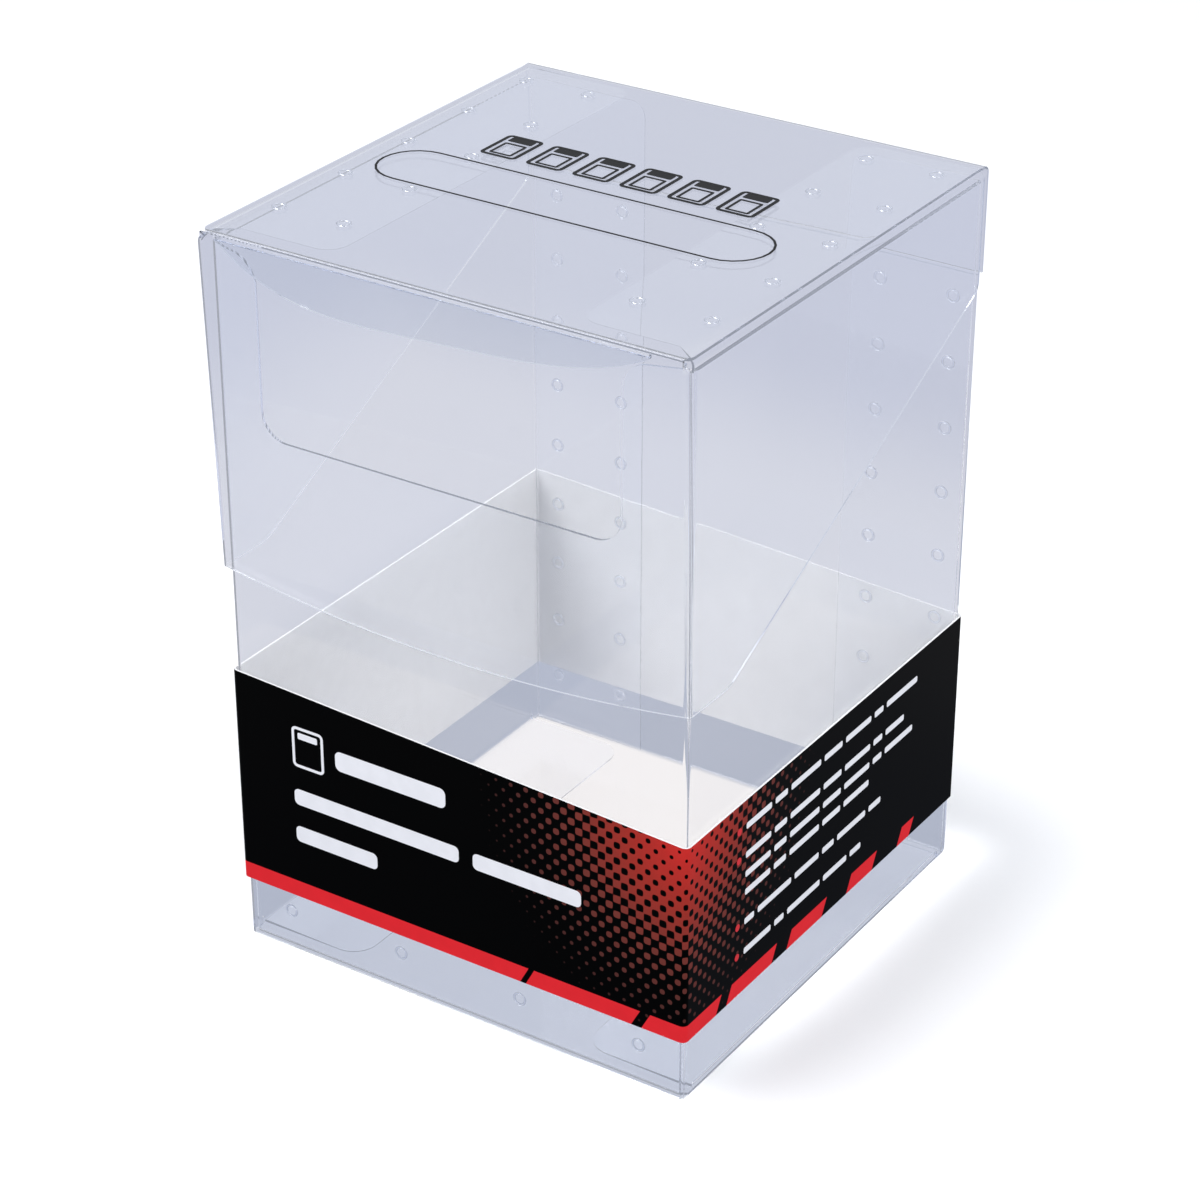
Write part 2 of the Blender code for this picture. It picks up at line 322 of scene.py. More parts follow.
@dataclass(frozen=True)
class StudioFloor:
    """Pale paint as the camera sees it, turning to an even white far out. Through the plastic the floor shows
    painted light and shade instead, as an emission: a painted pool of light under the open bottom, painted
    shadow of the band along the front and right walls inside, a painted contact shadow just outside the foot
    and painted cool shade further out.
    """

    colour: Colour = (0.9, 0.9, 0.9)
    roughness: float = 0.8
    specular: float = 0.1
    # Tones seen only through the plastic: painted light and shade, which the lamps do not make.
    painted_light_pool: Colour = (0.95, 0.905, 0.88)
    painted_band_shadow: Colour = (0.52, 0.55, 0.64)
    painted_contact_shadow: Colour = (0.40, 0.43, 0.52)
    painted_cool_shade: Colour = (0.665, 0.675, 0.74)
    far: Colour = (0.55, 0.57, 0.67)
    low: Pair = (-48 * MM, -26 * MM)
    high: Pair = (26 * MM, 48 * MM)
    foot: float = 48 * MM
    reach: Pair = (70 * MM, 125 * MM)
    fade: Pair = (160 * MM, 240 * MM)
    sweep: Pair = (300 * MM, 700 * MM)
    blur: float = 1.5 * MM

    def make(self) -> Material:
        """Builds the finish.

        Returns:
            The material.
        """
        material, nodes = new_material("floor_paint")
        place = nodes.split(nodes.place())
        # Mask of the painted pool of light under the open bottom; outside it, along the front and right
        # walls, painted shadow of the band.
        lit: object = 1.0
        for axis in (0, 1):
            for limit, way in ((self.low[axis], 1), (self.high[axis], -1)):
                step = nodes.ramp(place[axis], limit - way * self.blur, limit + way * self.blur)
                lit = nodes.maths("MULTIPLY", lit, step)
        outward = nodes.maths("MAXIMUM", *(nodes.maths("ABSOLUTE", part) for part in place[:2]))
        under = nodes.mix(lit, self.painted_band_shadow, self.painted_light_pool)
        # Painted contact shadow just outside the foot, turning to painted cool shade, which deepens further
        # out.
        around = nodes.mix(nodes.ramp(outward, *self.reach), self.painted_contact_shadow, self.painted_cool_shade)
        around = nodes.mix(nodes.ramp(outward, *self.fade), around, self.far)
        outside = nodes.ramp(outward, self.foot - self.blur, self.foot + self.blur)
        # The floor glows with the painted tones for every ray but the camera's; the camera sees the pale
        # paint, turning to even white far out.
        painted_glow = nodes.add("ShaderNodeEmission", Color=nodes.mix(outside, under, around))
        paint = nodes.paint(self.colour, self.roughness, self.specular)
        seen = nodes.blend(nodes.ramp(outward, *self.sweep), paint, nodes.add("ShaderNodeEmission"))
        nodes.finish(nodes.blend(nodes.add("ShaderNodeLightPath").outputs["Is Camera Ray"], painted_glow, seen))
        return material


@dataclass(frozen=True)
class BandPrint:
    """The band's printed side: black, with a dotted fade to red at the near corner and a red stripe below."""

    corner_top: float
    foot: float
    left_side: float = -46 * MM
    fade_reach: float = 42 * MM
    fade_stops: tuple[tuple[float, Colour], ...] = (
        (0.0, srgb(206, 46, 43)),
        (0.3, srgb(160, 50, 42)),
        (0.55, srgb(116, 54, 47)),
        (0.8, srgb(84, 46, 42)),
        (1.0, srgb(40, 26, 25)),
    )
    dot_pitch: float = 3.1 * MM
    dot_level: Pair = (-1.9, 0.9)  # how fast the dots close with the share of the reach, and where they start
    dot_soft: float = 0.1
    stripe_height: float = 3.4 * MM
    stripe_soft: float = 0.06 * MM
    slant: float = 0.53
    roughness: float = 0.45
    specular: float = 0.02
    uneven: float = 0.05
    patches: float = 300.0
    black: Colour = srgb(1, 1, 1)
    stripe_red: Colour = srgb(230, 43, 50)
    gaps: tuple[Pair, ...] = (  # middle, from the near corner, and half width of the stripe's slanted gaps
        (-33.6 * MM, 0.6 * MM),
        (-9.9 * MM, 1.05 * MM),
        (11.9 * MM, 1.7 * MM),
        (31.6 * MM, 2.6 * MM),
        (51.2 * MM, 4.5 * MM),
        (70.0 * MM, 4.8 * MM),
        (95.0 * MM, 15.6 * MM),
    )

    def ground(self, nodes: Nodes, around: Socket, near: Socket, z: Socket) -> Socket:
        """The black, with the dotted fade at the near corner.

        Args:
            nodes: the material's nodes.
            around: distance round the near corner.
            near: 1 on the two faces that meet there.
            z: height.

        Returns:
            The colour.
        """
        drop = nodes.maths("SUBTRACT", self.corner_top, z)
        flat = nodes.maths("POWER", nodes.maths("ABSOLUTE", around), 2.0)
        reach = nodes.maths("SQRT", nodes.maths("ADD", flat, nodes.maths("MULTIPLY", drop, drop)))
        wave = 2 * math.pi / self.dot_pitch
        rows = (nodes.maths("COSINE", nodes.maths("MULTIPLY", way, wave)) for way in (around, drop))
        dots = nodes.maths("MULTIPLY", *rows)
        share = nodes.maths("DIVIDE", reach, self.fade_reach)
        level = nodes.maths("MULTIPLY_ADD", share, *self.dot_level)
        covered = nodes.ramp(nodes.maths("SUBTRACT", dots, level), -self.dot_soft, self.dot_soft)
        fade = nodes.add("ShaderNodeValToRGB", Fac=share)
        stops = fade.color_ramp.elements
        while len(stops) < len(self.fade_stops):
            stops.new(0.5)
        for stop, (position, colour) in zip(stops, self.fade_stops):
            stop.position = position
            stop.color = (*colour, 1.0)
        return nodes.mix(near, self.black, nodes.mix(covered, fade.outputs["Color"], self.black))

    def make(self) -> Material:
        """Builds the finish.

        Returns:
            The material.
        """
        material, nodes = new_material("band_print")
        x, y, z = nodes.split(nodes.place())
        around = nodes.maths("ADD", x, y)  # below 0 on the front, above 0 on the right
        near = nodes.maths("GREATER_THAN", x, y)
        height = nodes.maths("SUBTRACT", z, self.foot)
        sheared = nodes.maths("SUBTRACT", around, nodes.maths("MULTIPLY", height, self.slant))
        soft = self.stripe_soft
        stripe = nodes.ramp(height, self.stripe_height + soft, self.stripe_height - soft)
        broken: object = 1.0
        for centre, half in self.gaps:
            from_gap = nodes.maths("ABSOLUTE", nodes.maths("SUBTRACT", sheared, centre))
            broken = nodes.maths("MULTIPLY", broken, nodes.ramp(from_gap, half - soft, half + soft))
        on_left = nodes.maths("LESS_THAN", x, self.left_side)
        shown = nodes.maths("MAXIMUM", nodes.maths("MULTIPLY", near, broken), on_left)
        ground = self.ground(nodes, around, near, z)
        colour = nodes.mix(nodes.maths("MULTIPLY", stripe, shown), ground, self.stripe_red)
        clouded = nodes.effect(Effect.CLOUDING, Colour=colour, Depth=self.uneven, Patches=self.patches)
        nodes.finish(nodes.paint(clouded, self.roughness, self.specular))
        return material


# ---------------------------------------------------------------- folding sheets
@dataclass
class Run:
    """One straight or one fold of a route."""

    begin: float
    end: float
    start: Vector
    heading: Vector
    turn: float = 0.0
    radius: float = 0.0
    trim: float = 0.0


class Route:
    """Straight runs in a plane joined by round folds, measured along the length of the line."""

    def __init__(self, corners: Sequence[Pair], radii: Sequence[float]) -> None:
        """Lays the runs out.

        Args:
            corners: where the straight runs would meet, end points included.
            radii: the fold's radius at each corner but the two ends.
        """
        points = [Vector(corner) for corner in corners]
        steps = [after - before for before, after in zip(points, points[1:])]
        self.runs: list[Run] = []  # straight, fold, straight and so on
        length, trim = 0.0, 0.0
        for index, step in enumerate(steps):
            heading = step.normalized()
            next_trim, turn = 0.0, 0.0
            if index < len(radii):
                after = steps[index + 1].normalized()
                turn = math.atan2(heading.cross(after), heading.dot(after))
                next_trim = radii[index] * math.tan(abs(turn) / 2)
            end = length + step.length - trim - next_trim
            self.runs.append(Run(length, end, points[index] + heading * trim, heading, trim=trim))
            length, trim = end, next_trim
            if turn:
                length += radii[index] * abs(turn)
                start = points[index + 1] - heading * trim
                self.runs.append(Run(end, length, start, heading, turn, radii[index]))
        self.length = length

    def along(self, straight: int, distance: float) -> float:
        """The length along the route at a distance past a straight run's first corner."""
        run = self.runs[2 * straight]
        return run.begin + distance - run.trim

    def distance(self, straight: int, length: float) -> float:
        """The distance past a straight run's first corner at a length along the route."""
        run = self.runs[2 * straight]
        return length - run.begin + run.trim

    def point(self, length: float, offset: float) -> Vector:
        """A point of the sheet.

        Args:
            length: length along the route.
            offset: distance to the right of it.

        Returns:
            The point in the route's plane.
        """
        run = next((run for run in self.runs if length <= run.end), self.runs[-1])
        side = Vector((run.heading.y, -run.heading.x))
        if not run.turn:
            return run.start + run.heading * (length - run.begin) + side * offset
        centre = run.start - side * math.copysign(run.radius, run.turn)
        angle = math.copysign((length - run.begin) / run.radius, run.turn)
        return centre + Matrix.Rotation(angle, 2) @ (run.start + side * offset - centre)

    def slices(self, steps: int = 6) -> list[float]:
        """Lengths at which a flat sheet is sliced so that its folds come out round."""
        folds = [run for run in self.runs if run.turn]
        shares = [step / steps for step in range(steps + 1)]
        return [run.begin + (run.end - run.begin) * share for run in folds for share in shares]


class Side(Enum):
    """Which way a flat sheet is measured."""

    ALONG = 0
    ACROSS = 1


class FlatSheet:
    """A sheet cut flat in length and height, thickened, and then folded into its place."""

    def __init__(self, name: str, thickness: float, finishes: Finishes) -> None:
        """Starts an empty sheet."""
        self.name, self.thickness, self.finishes = name, thickness, finishes
        self.mesh = bmesh.new()

    def cut(self, corners: Sequence[Corner], segments: int = 8) -> None:
        """Cuts the outline.

        Args:
            corners: along, across and radius of each corner in turn.
            segments: steps in each rounded corner.
        """
        verts = [self.mesh.verts.new((along, across, 0.0)) for along, across, _ in corners]
        self.mesh.faces.new(verts)
        places = [vert.co.copy() for vert in verts]
        for index, (vert, (_, _, radius)) in enumerate(zip(verts, corners)):
            before = places[index - 1] - places[index]
            after = places[(index + 1) % len(places)] - places[index]
            if radius > 0:
                round_corners(self.mesh, [vert], radius / math.tan(before.angle(after) / 2), segments, False)

    def curve_edge(self, way: Side, line: float, span: Pair, cuts: int, bulge: Bulge) -> None:
        """Turns a straight edge of the outline into a curve.

        Args:
            way: the way in which its points move.
            line: where it stands, measured that way.
            span: where it begins and ends, measured the other way.
            cuts: points put into it.
            bulge: how far its points move.
        """
        moved, other = way.value, 1 - way.value
        middle, half = (span[0] + span[1]) / 2, (span[1] - span[0]) / 2

        def on_edge(vert: Vert, margin: float) -> bool:
            """Whether a point stands on the edge, to a margin past its ends."""
            return abs(vert.co[moved] - line) < NEAR and abs(vert.co[other] - middle) < half + margin

        edge = next(e for e in self.mesh.edges if all(on_edge(vert, NEAR) for vert in e.verts))
        bmesh.ops.subdivide_edges(self.mesh, edges=[edge], cuts=cuts)
        for vert in self.mesh.verts:
            if on_edge(vert, -NEAR):
                vert.co[moved] += bulge((vert.co[other] - middle) / half)

    def slice(self, side: Side, places: Iterable[float]) -> None:
        """Slices the flat sheet's faces at each place, so that it can bend there.

        Args:
            side: which way the places are measured.
            places: where the slices go.
        """
        normal = Vector((1, 0, 0)) if side is Side.ALONG else Vector((0, 1, 0))
        for place in places:
            geometry = [*self.mesh.verts, *self.mesh.edges, *self.mesh.faces]
            bmesh.ops.bisect_plane(
                self.mesh, geom=geometry, dist=NEAR / 10, plane_co=normal * place, plane_no=normal
            )

    def thicken(self) -> None:
        """Gives the sheet its thickness, about the flat middle. The cut edges take the second finish."""
        bmesh.ops.recalc_face_normals(self.mesh, faces=self.mesh.faces[:])
        if sum(face.normal.z for face in self.mesh.faces) < 0:
            bmesh.ops.reverse_faces(self.mesh, faces=self.mesh.faces[:])
        bmesh.ops.triangulate(self.mesh, faces=self.mesh.faces[:], quad_method="BEAUTY", ngon_method="BEAUTY")
        bmesh.ops.translate(self.mesh, vec=(0, 0, self.thickness / 2), verts=self.mesh.verts)
        bmesh.ops.solidify(self.mesh, geom=self.mesh.faces[:], thickness=self.thickness)
        for face in self.mesh.faces:
            face.normal_update()
            face.material_index = int(abs(face.normal.z) < 0.5)

    def fold(self, place: Place, along: Iterable[float], across: Iterable[float] = ()) -> Object:
        """Slices the sheet where it bends, thickens it and moves every point to its place in the box.

        Args:
            place: where a flat point goes.
            along: lengths at which it is sliced.
            across: heights at which it is sliced.

        Returns:
            The finished sheet as an object.
        """
        self.slice(Side.ALONG, along)
        self.slice(Side.ACROSS, across)
        self.thicken()
        for vert in self.mesh.verts:
            vert.co = place(vert.co)
        bmesh.ops.recalc_face_normals(self.mesh, faces=self.mesh.faces[:])
        if self.mesh.calc_volume(signed=True) < 0:
            bmesh.ops.reverse_faces(self.mesh, faces=self.mesh.faces[:])
        return as_object(self.name, self.mesh, self.finishes)


def round_corners(mesh: Shape, verts: list[Vert], offset: float, segments: int, clamp: bool) -> list[Vert]:
    """Rounds corners of a flat face.

    Args:
        mesh: the mesh.
        verts: the corners.
        offset: how far from each corner the rounding starts.
        segments: steps in each.
        clamp: keeps neighbouring roundings from overlapping.

    Returns:
        The new outline's points.
    """
    return bmesh.ops.bevel(
        mesh,
        geom=verts,
        offset=offset,
        offset_type="OFFSET",
        affect="VERTICES",
        segments=segments,
        profile=0.5,
        material=-1,
        clamp_overlap=clamp,
    )["verts"]


def mirrored(half: Sequence[Corner], middle: Sequence[Corner] = ()) -> list[Corner]:
    """A whole outline from the half of it above the middle line, with any corners that stand between."""
    return [(along, -across, radius) for along, across, radius in half] + [*middle, *reversed(half)]


def as_object(name: str, shape: Shape, finishes: Sequence[Material], smooth_below: float = 35.0) -> Object:
    """Makes an object of a bmesh, with flat faces kept flat and folds shaded round.

    Args:
        name: the piece's name.
        shape: its mesh, which is freed.
        finishes: its materials in slot order.
        smooth_below: edges under this angle, in degrees, are shaded smooth.

    Returns:
        The object, linked to the scene.
    """
    mesh = bpy.data.meshes.new(name)
    shape.to_mesh(mesh)
    shape.free()
    for material in finishes:
        mesh.materials.append(material)
    mesh.shade_smooth()
    mesh.set_sharp_from_angle(angle=math.radians(smooth_below))
    piece = bpy.data.objects.new(name, mesh)
    bpy.context.scene.collection.objects.link(piece)
    weigh = piece.modifiers.new("flat_faces", "WEIGHTED_NORMAL")
    weigh.keep_sharp = True
    return piece


def settle(piece: Object, body: str, slot: str, *replaced: str) -> None:
    """Rides a finished piece on its body and hides the CAD nodes that it stands for.

    Args:
        piece: the object.
        body: the CAD body that it moves with.
        slot: the record's material slot; not used.
        replaced: CAD nodes hidden.
    """
    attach(piece, body)
    if replaced:
        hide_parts(*replaced)
    LOG.info("%s rides on %s", piece.name, body)


def both(*parts: str) -> list[str]:
    """The names of the left and right nodes of parts that come in pairs."""
    return [f"{side}_{part}" for side in ("left", "right") for part in parts]


# ---------------------------------------------------------------- sizes taken from the frame
@dataclass(frozen=True)
class BoxSizes:
    """Places of the box's faces and creases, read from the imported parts."""

    sheet: float
    body_x: float
    front_y: float
    rear_y: float
    back_outer_y: float
    wall_top: float
    lid_x: float
    lid_front_y: float
    top_z: float
    hinge_y: float
    hinge_z: float

    @classmethod
    def read(cls) -> "BoxSizes":
        """Reads the places from the frame's nodes and joints.

        Returns:
            The sizes.
        """
        front_low, front_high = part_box("front_panel")
        flange_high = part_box("left_rear_flange")[1]
        top_low, top_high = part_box("lid_top_panel")
        hinge = next(joint for joint in frame["joints"] if joint["name"] == "lid_hinge")["pos_m"]
        return cls(
            sheet=front_high.y - front_low.y,
            body_x=front_high.x,
            front_y=front_low.y,
            rear_y=flange_high.y,
            back_outer_y=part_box("back_panel")[1].y,
            wall_top=flange_high.z,
            lid_x=top_high.x,
            lid_front_y=top_low.y,
            top_z=top_high.z,
            hinge_y=hinge[1],
            hinge_z=hinge[2],
        )


# ---------------------------------------------------------------- body
@dataclass
class BodySheet:
    """Front and side walls in one sheet, with its rear flanges and dust flaps folded in."""

    box: BoxSizes
    finishes: Finishes
    fold_radius: float = 0.65 * MM
    tuck_radius: float = 0.845 * MM
    bottom_gap: float = 0.3 * MM
    relief: float = 0.3 * MM
    cut_left: float = -38.5 * MM
    cut_right: float = 34.5 * MM
    cut_floor: float = 105 * MM
    cut_corner: float = 5 * MM
    ear_fall: float = 1.8 * MM
    ear_end: float = 0.8 * MM
    wall_start: float = 1.2 * MM
    flange_corner: float = 3 * MM
    flap_corner: float = 5 * MM
    free_reach: float = 1.1  # how far in from a free edge, in radii of its corners
    free_edge: float = 0.3  # share of the sheet's thickness there, clear of the sheets round it

    def make(self) -> None:
        """Builds the sheet."""
        box, half = self.box, self.box.sheet / 2
        side, front, rear = box.body_x - half, box.front_y + half, box.rear_y - half
        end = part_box("right_rear_flange")[0].x
        corners = [(-end, rear), (-side, rear), (-side, front), (side, front), (side, rear), (end, rear)]
        route = Route(corners, [self.fold_radius] * 4)
        flap_low, flap_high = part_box("left_dust_flap")
        flap_z = (flap_low.z + flap_high.z) / 2
        tuck = Route([(0.0, box.wall_top), (0.0, flap_z), (flap_high.x + side, flap_z)], [self.tuck_radius])
        root, tip = box.wall_top - tuck.runs[1].begin, box.wall_top - tuck.length
        tabs = (
            (route.along(1, rear - flap_high.y), route.along(1, rear - flap_low.y)),
            (route.along(3, flap_low.y - front), route.along(3, flap_high.y - front)),
        )
        sheet = FlatSheet("body_sheet", box.sheet, self.finishes)
        sheet.cut(self.outline(route, tabs, root, tip))

        def place(flat: Vector) -> Vector:
            """Where a flat point goes: round the walls, and in the tabs under them."""
            free = min(flat.x, route.length - flat.x) < self.free_reach * self.flange_corner
            inward, height = -flat.z * (self.free_edge if free else 1.0), flat.y
            in_tab = any(begin - NEAR <= flat.x <= end + NEAR for begin, end in tabs)
            if in_tab and flat.y < root + NEAR:
                thin = self.free_edge if flat.y < tip + self.free_reach * self.flap_corner else 1.0
                inward, height = tuck.point(box.wall_top - flat.y, flat.z * thin)
            across = route.point(flat.x, -inward)
            return Vector((across.x, across.y, height))

        piece = sheet.fold(place, route.slices(), [box.wall_top - length for length in tuck.slices()])
        pairs = both("side_panel", "rear_flange", "dust_flap")
        settle(piece, "box_body", "clear_sheet", "front_panel", *pairs)

    def outline(self, route: Route, tabs: Sequence[Pair], root: float, tip: float) -> list[Corner]:
        """The sheet's flat outline, from its left flange along the foot and back along the top.

        Args:
            route: the way round the walls.
            tabs: begin and end of each dust flap along it.
            root: height of the dust flaps' fold.
            tip: flat height of their free edge.

        Returns:
            The corners.
        """
        box, half, low, top = self.box, self.box.sheet / 2, self.bottom_gap, self.box.wall_top
        side, depth = box.body_x - half, box.rear_y - box.front_y - box.sheet
        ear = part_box("front_panel")[1].z
        outline: list[Corner] = [(0.0, low, 0.0)]
        for begin, end in tabs:
            outline += [
                (begin - self.relief, low, 0.0),
                (begin - self.relief, root, 0.0),
                (begin, root, 0.0),
                (begin, tip, self.flap_corner),
                (end, tip, self.flap_corner),
                (end, root, 0.0),
                (end + self.relief, root, 0.0),
                (end + self.relief, low, 0.0),
            ]
        front = (
            (side - self.ear_end, ear, 0.0),
            (self.cut_right, ear - self.ear_fall, self.cut_corner),
            (self.cut_right, self.cut_floor, self.cut_corner),
            (self.cut_left, self.cut_floor, self.cut_corner),
            (self.cut_left, ear - self.ear_fall, self.cut_corner),
            (self.ear_end - side, ear, 0.0),
        )
        return [
            *outline,
            (route.length, low, 0.0),
            (route.length, top, self.flange_corner),
            (route.along(3, self.wall_start), top, 0.0),
            *((route.along(2, x + side), height, radius) for x, height, radius in front),
            (route.along(1, depth - self.wall_start), top, 0.0),
            (0.0, top, self.flange_corner),
        ]


@dataclass
class BackSheet:
    """Glue flap, bottom and back in one sheet, up to the lid's crease."""

    box: BoxSizes
    finishes: Finishes
    fold_radius: float = 0.75 * MM
    crease_half: float = 0.35 * MM
    flap_in: float = 0.4 * MM
    flap_corner: float = 3 * MM
    foot_in: float = 0.2 * MM
    foot_step: float = 0.5 * MM

    def make(self) -> None:
        """Builds the sheet."""
        box, half = self.box, self.box.sheet / 2
        glue_low, glue_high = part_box("bottom_glue_flap")
        flap_y, back_y = (glue_low.y + glue_high.y) / 2, box.back_outer_y - half
        crease_z = box.hinge_z - self.crease_half
        corners = [(flap_y, glue_high.z), (flap_y, half), (back_y, half), (back_y, crease_z)]
        route = Route(corners, [self.fold_radius] * 2)
        shoulder, inset, foot = route.runs[1].end, glue_high.x - self.flap_in, box.body_x - self.foot_in
        upper_half = [
            (0.0, inset, self.flap_corner),
            (shoulder, inset, 0.0),
            (shoulder + self.foot_step, foot, 0.0),
            (route.along(2, 2 * self.foot_step), foot, 0.0),
            (route.length, box.body_x, 0.0),
        ]
        sheet = FlatSheet("back_sheet", box.sheet, self.finishes)
        sheet.cut(mirrored(upper_half))

        def place(flat: Vector) -> Vector:
            """Where a flat point goes."""
            return Vector((-flat.y, *route.point(flat.x, flat.z)))

        piece = sheet.fold(place, route.slices())
        settle(piece, "box_body", "clear_sheet", "bottom_glue_flap", "bottom_panel", "back_panel")


# ---------------------------------------------------------------- lid
@dataclass
class LidSheet:
    """Back flap and top of the lid, the scored crease under them and the locking lip at their front."""

    box: BoxSizes
    finishes: Finishes
    lip_finishes: Finishes
    crease_half: float = 0.35 * MM
    crease_share: float = 0.45  # of the sheet's thickness
    rear_radius: float = 0.9 * MM
    side_in: float = 0.1 * MM
    top_in: float = 0.55 * MM
    top_start: float = 1.5 * MM
    front_in: float = 0.93 * MM
    front_corner: float = 1.8 * MM
    lip_radius: float = 0.55 * MM
    lip_tilt: float = math.radians(15)
    lip_run: float = 12 * MM
    lip_root: float = 0.15 * MM
    lip_depth: float = 9.3 * MM
    lip_skew: float = 0.3
    web: float = 0.35 * MM
    route: Route = field(init=False)
    lip_span: Pair = field(init=False)

    def __post_init__(self) -> None:
        """Lays the route from the crease over the top and down the lip."""
        box, half = self.box, self.box.sheet / 2
        top, corner, back = box.top_z - INK - half, box.lid_front_y + self.front_in, box.back_outer_y - half
        tip = (corner + self.lip_run * math.sin(self.lip_tilt), top - self.lip_run * math.cos(self.lip_tilt))
        corners = [(back, box.hinge_z + self.crease_half), (back, top), (corner, top), tip]
        self.route = Route(corners, [self.rear_radius, self.lip_radius])
        low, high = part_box("locking_lip")
        self.lip_span = (-high.x, -low.x)

    def fold_point(self, flat: Vector) -> Vector:
        """Where a flat point goes."""
        return Vector((-flat.y, *self.route.point(flat.x, flat.z)))

    def make(self) -> None:
        """Builds the lid's sheet, its two creases and the lip."""
        route, wide, top_wide = self.route, self.box.lid_x - self.side_in, self.box.lid_x - self.top_in
        rim = route.runs[3].end - self.web
        upper_half = [
            (0.0, wide, 0.0),
            (route.runs[0].end, wide, 0.0),
            (route.runs[2].begin + self.top_start, top_wide, 0.0),
            (rim, top_wide, self.front_corner),
        ]
        sheet = FlatSheet("lid_sheet", self.box.sheet, self.finishes)
        sheet.cut(mirrored(upper_half, [(rim, across, 0.0) for across in self.lip_span]))
        piece = sheet.fold(self.fold_point, route.slices())
        settle(piece, "lid", "clear_sheet", "lid_back_flap", "lid_top_panel")
        self.make_crease()
        self.make_lip_fold()
        self.make_lip()

    def strip(self, sheet: FlatSheet, along: Pair, across: Pair, steps: int, place: Place) -> Object:
        """A short strip sliced in even steps.

        Args:
            sheet: the empty sheet.
            along: where it begins and ends.
            across: its two sides.
            steps: how many slices it bends in.
            place: where a flat point goes.

        Returns:
            The piece.
        """
        (low, high), (left, right) = along, across
        sheet.cut([(low, left, 0.0), (high, left, 0.0), (high, right, 0.0), (low, right, 0.0)])
        return sheet.fold(place, [low + (high - low) * step / steps for step in range(1, steps)])

    def make_crease(self) -> None:
        """Builds the scored strip that the lid turns on, thin and flush with the sheet's outer face."""
        box, thin = self.box, self.crease_share * self.box.sheet
        low, high = box.hinge_z - self.crease_half, box.hinge_z + self.crease_half

        def place(flat: Vector) -> Vector:
            """Where a flat point goes."""
            return Vector((-flat.y, box.back_outer_y - thin / 2 + flat.z, flat.x))

        sheet = FlatSheet("lid_crease", thin, self.finishes)
        piece = self.strip(sheet, (low, high), (-box.body_x, box.body_x), 8, place)
        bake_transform(piece)
        LOG.info("%s bends between box_body and lid", piece.name)

    def make_lip_fold(self) -> None:
        """Builds the short strip that bends as the lip is pushed in."""
        end = self.route.runs[3].end
        ends = (end - self.web, end + self.web)
        sheet = FlatSheet("lip_fold", self.box.sheet, self.finishes)
        piece = self.strip(sheet, ends, self.lip_span, 6, self.fold_point)
        first, last = (self.route.point(length, 0.0) for length in ends)
        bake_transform(piece)
        LOG.info("%s bends between lid and lip", piece.name)

    def make_lip(self) -> None:
        """Builds the curved locking lip, which hangs behind the front flap."""
        start, (low, high) = self.route.runs[3].end + self.web, self.lip_span
        rim = start + self.lip_root
        sheet = FlatSheet("curved_lip", self.box.sheet, self.lip_finishes)
        sheet.cut([(start, low, 0.0), (rim, low, 0.0), (rim, high, 0.0), (start, high, 0.0)])

        def bulge(share: float) -> float:
            """How far the lip's edge hangs, deeper towards the left."""
            return self.lip_depth * (1 - share**4) * (1 + self.lip_skew * share)

        sheet.curve_edge(Side.ALONG, rim, self.lip_span, 47, bulge)
        settle(sheet.fold(self.fold_point, []), "lip", "clear_sheet", "locking_lip")


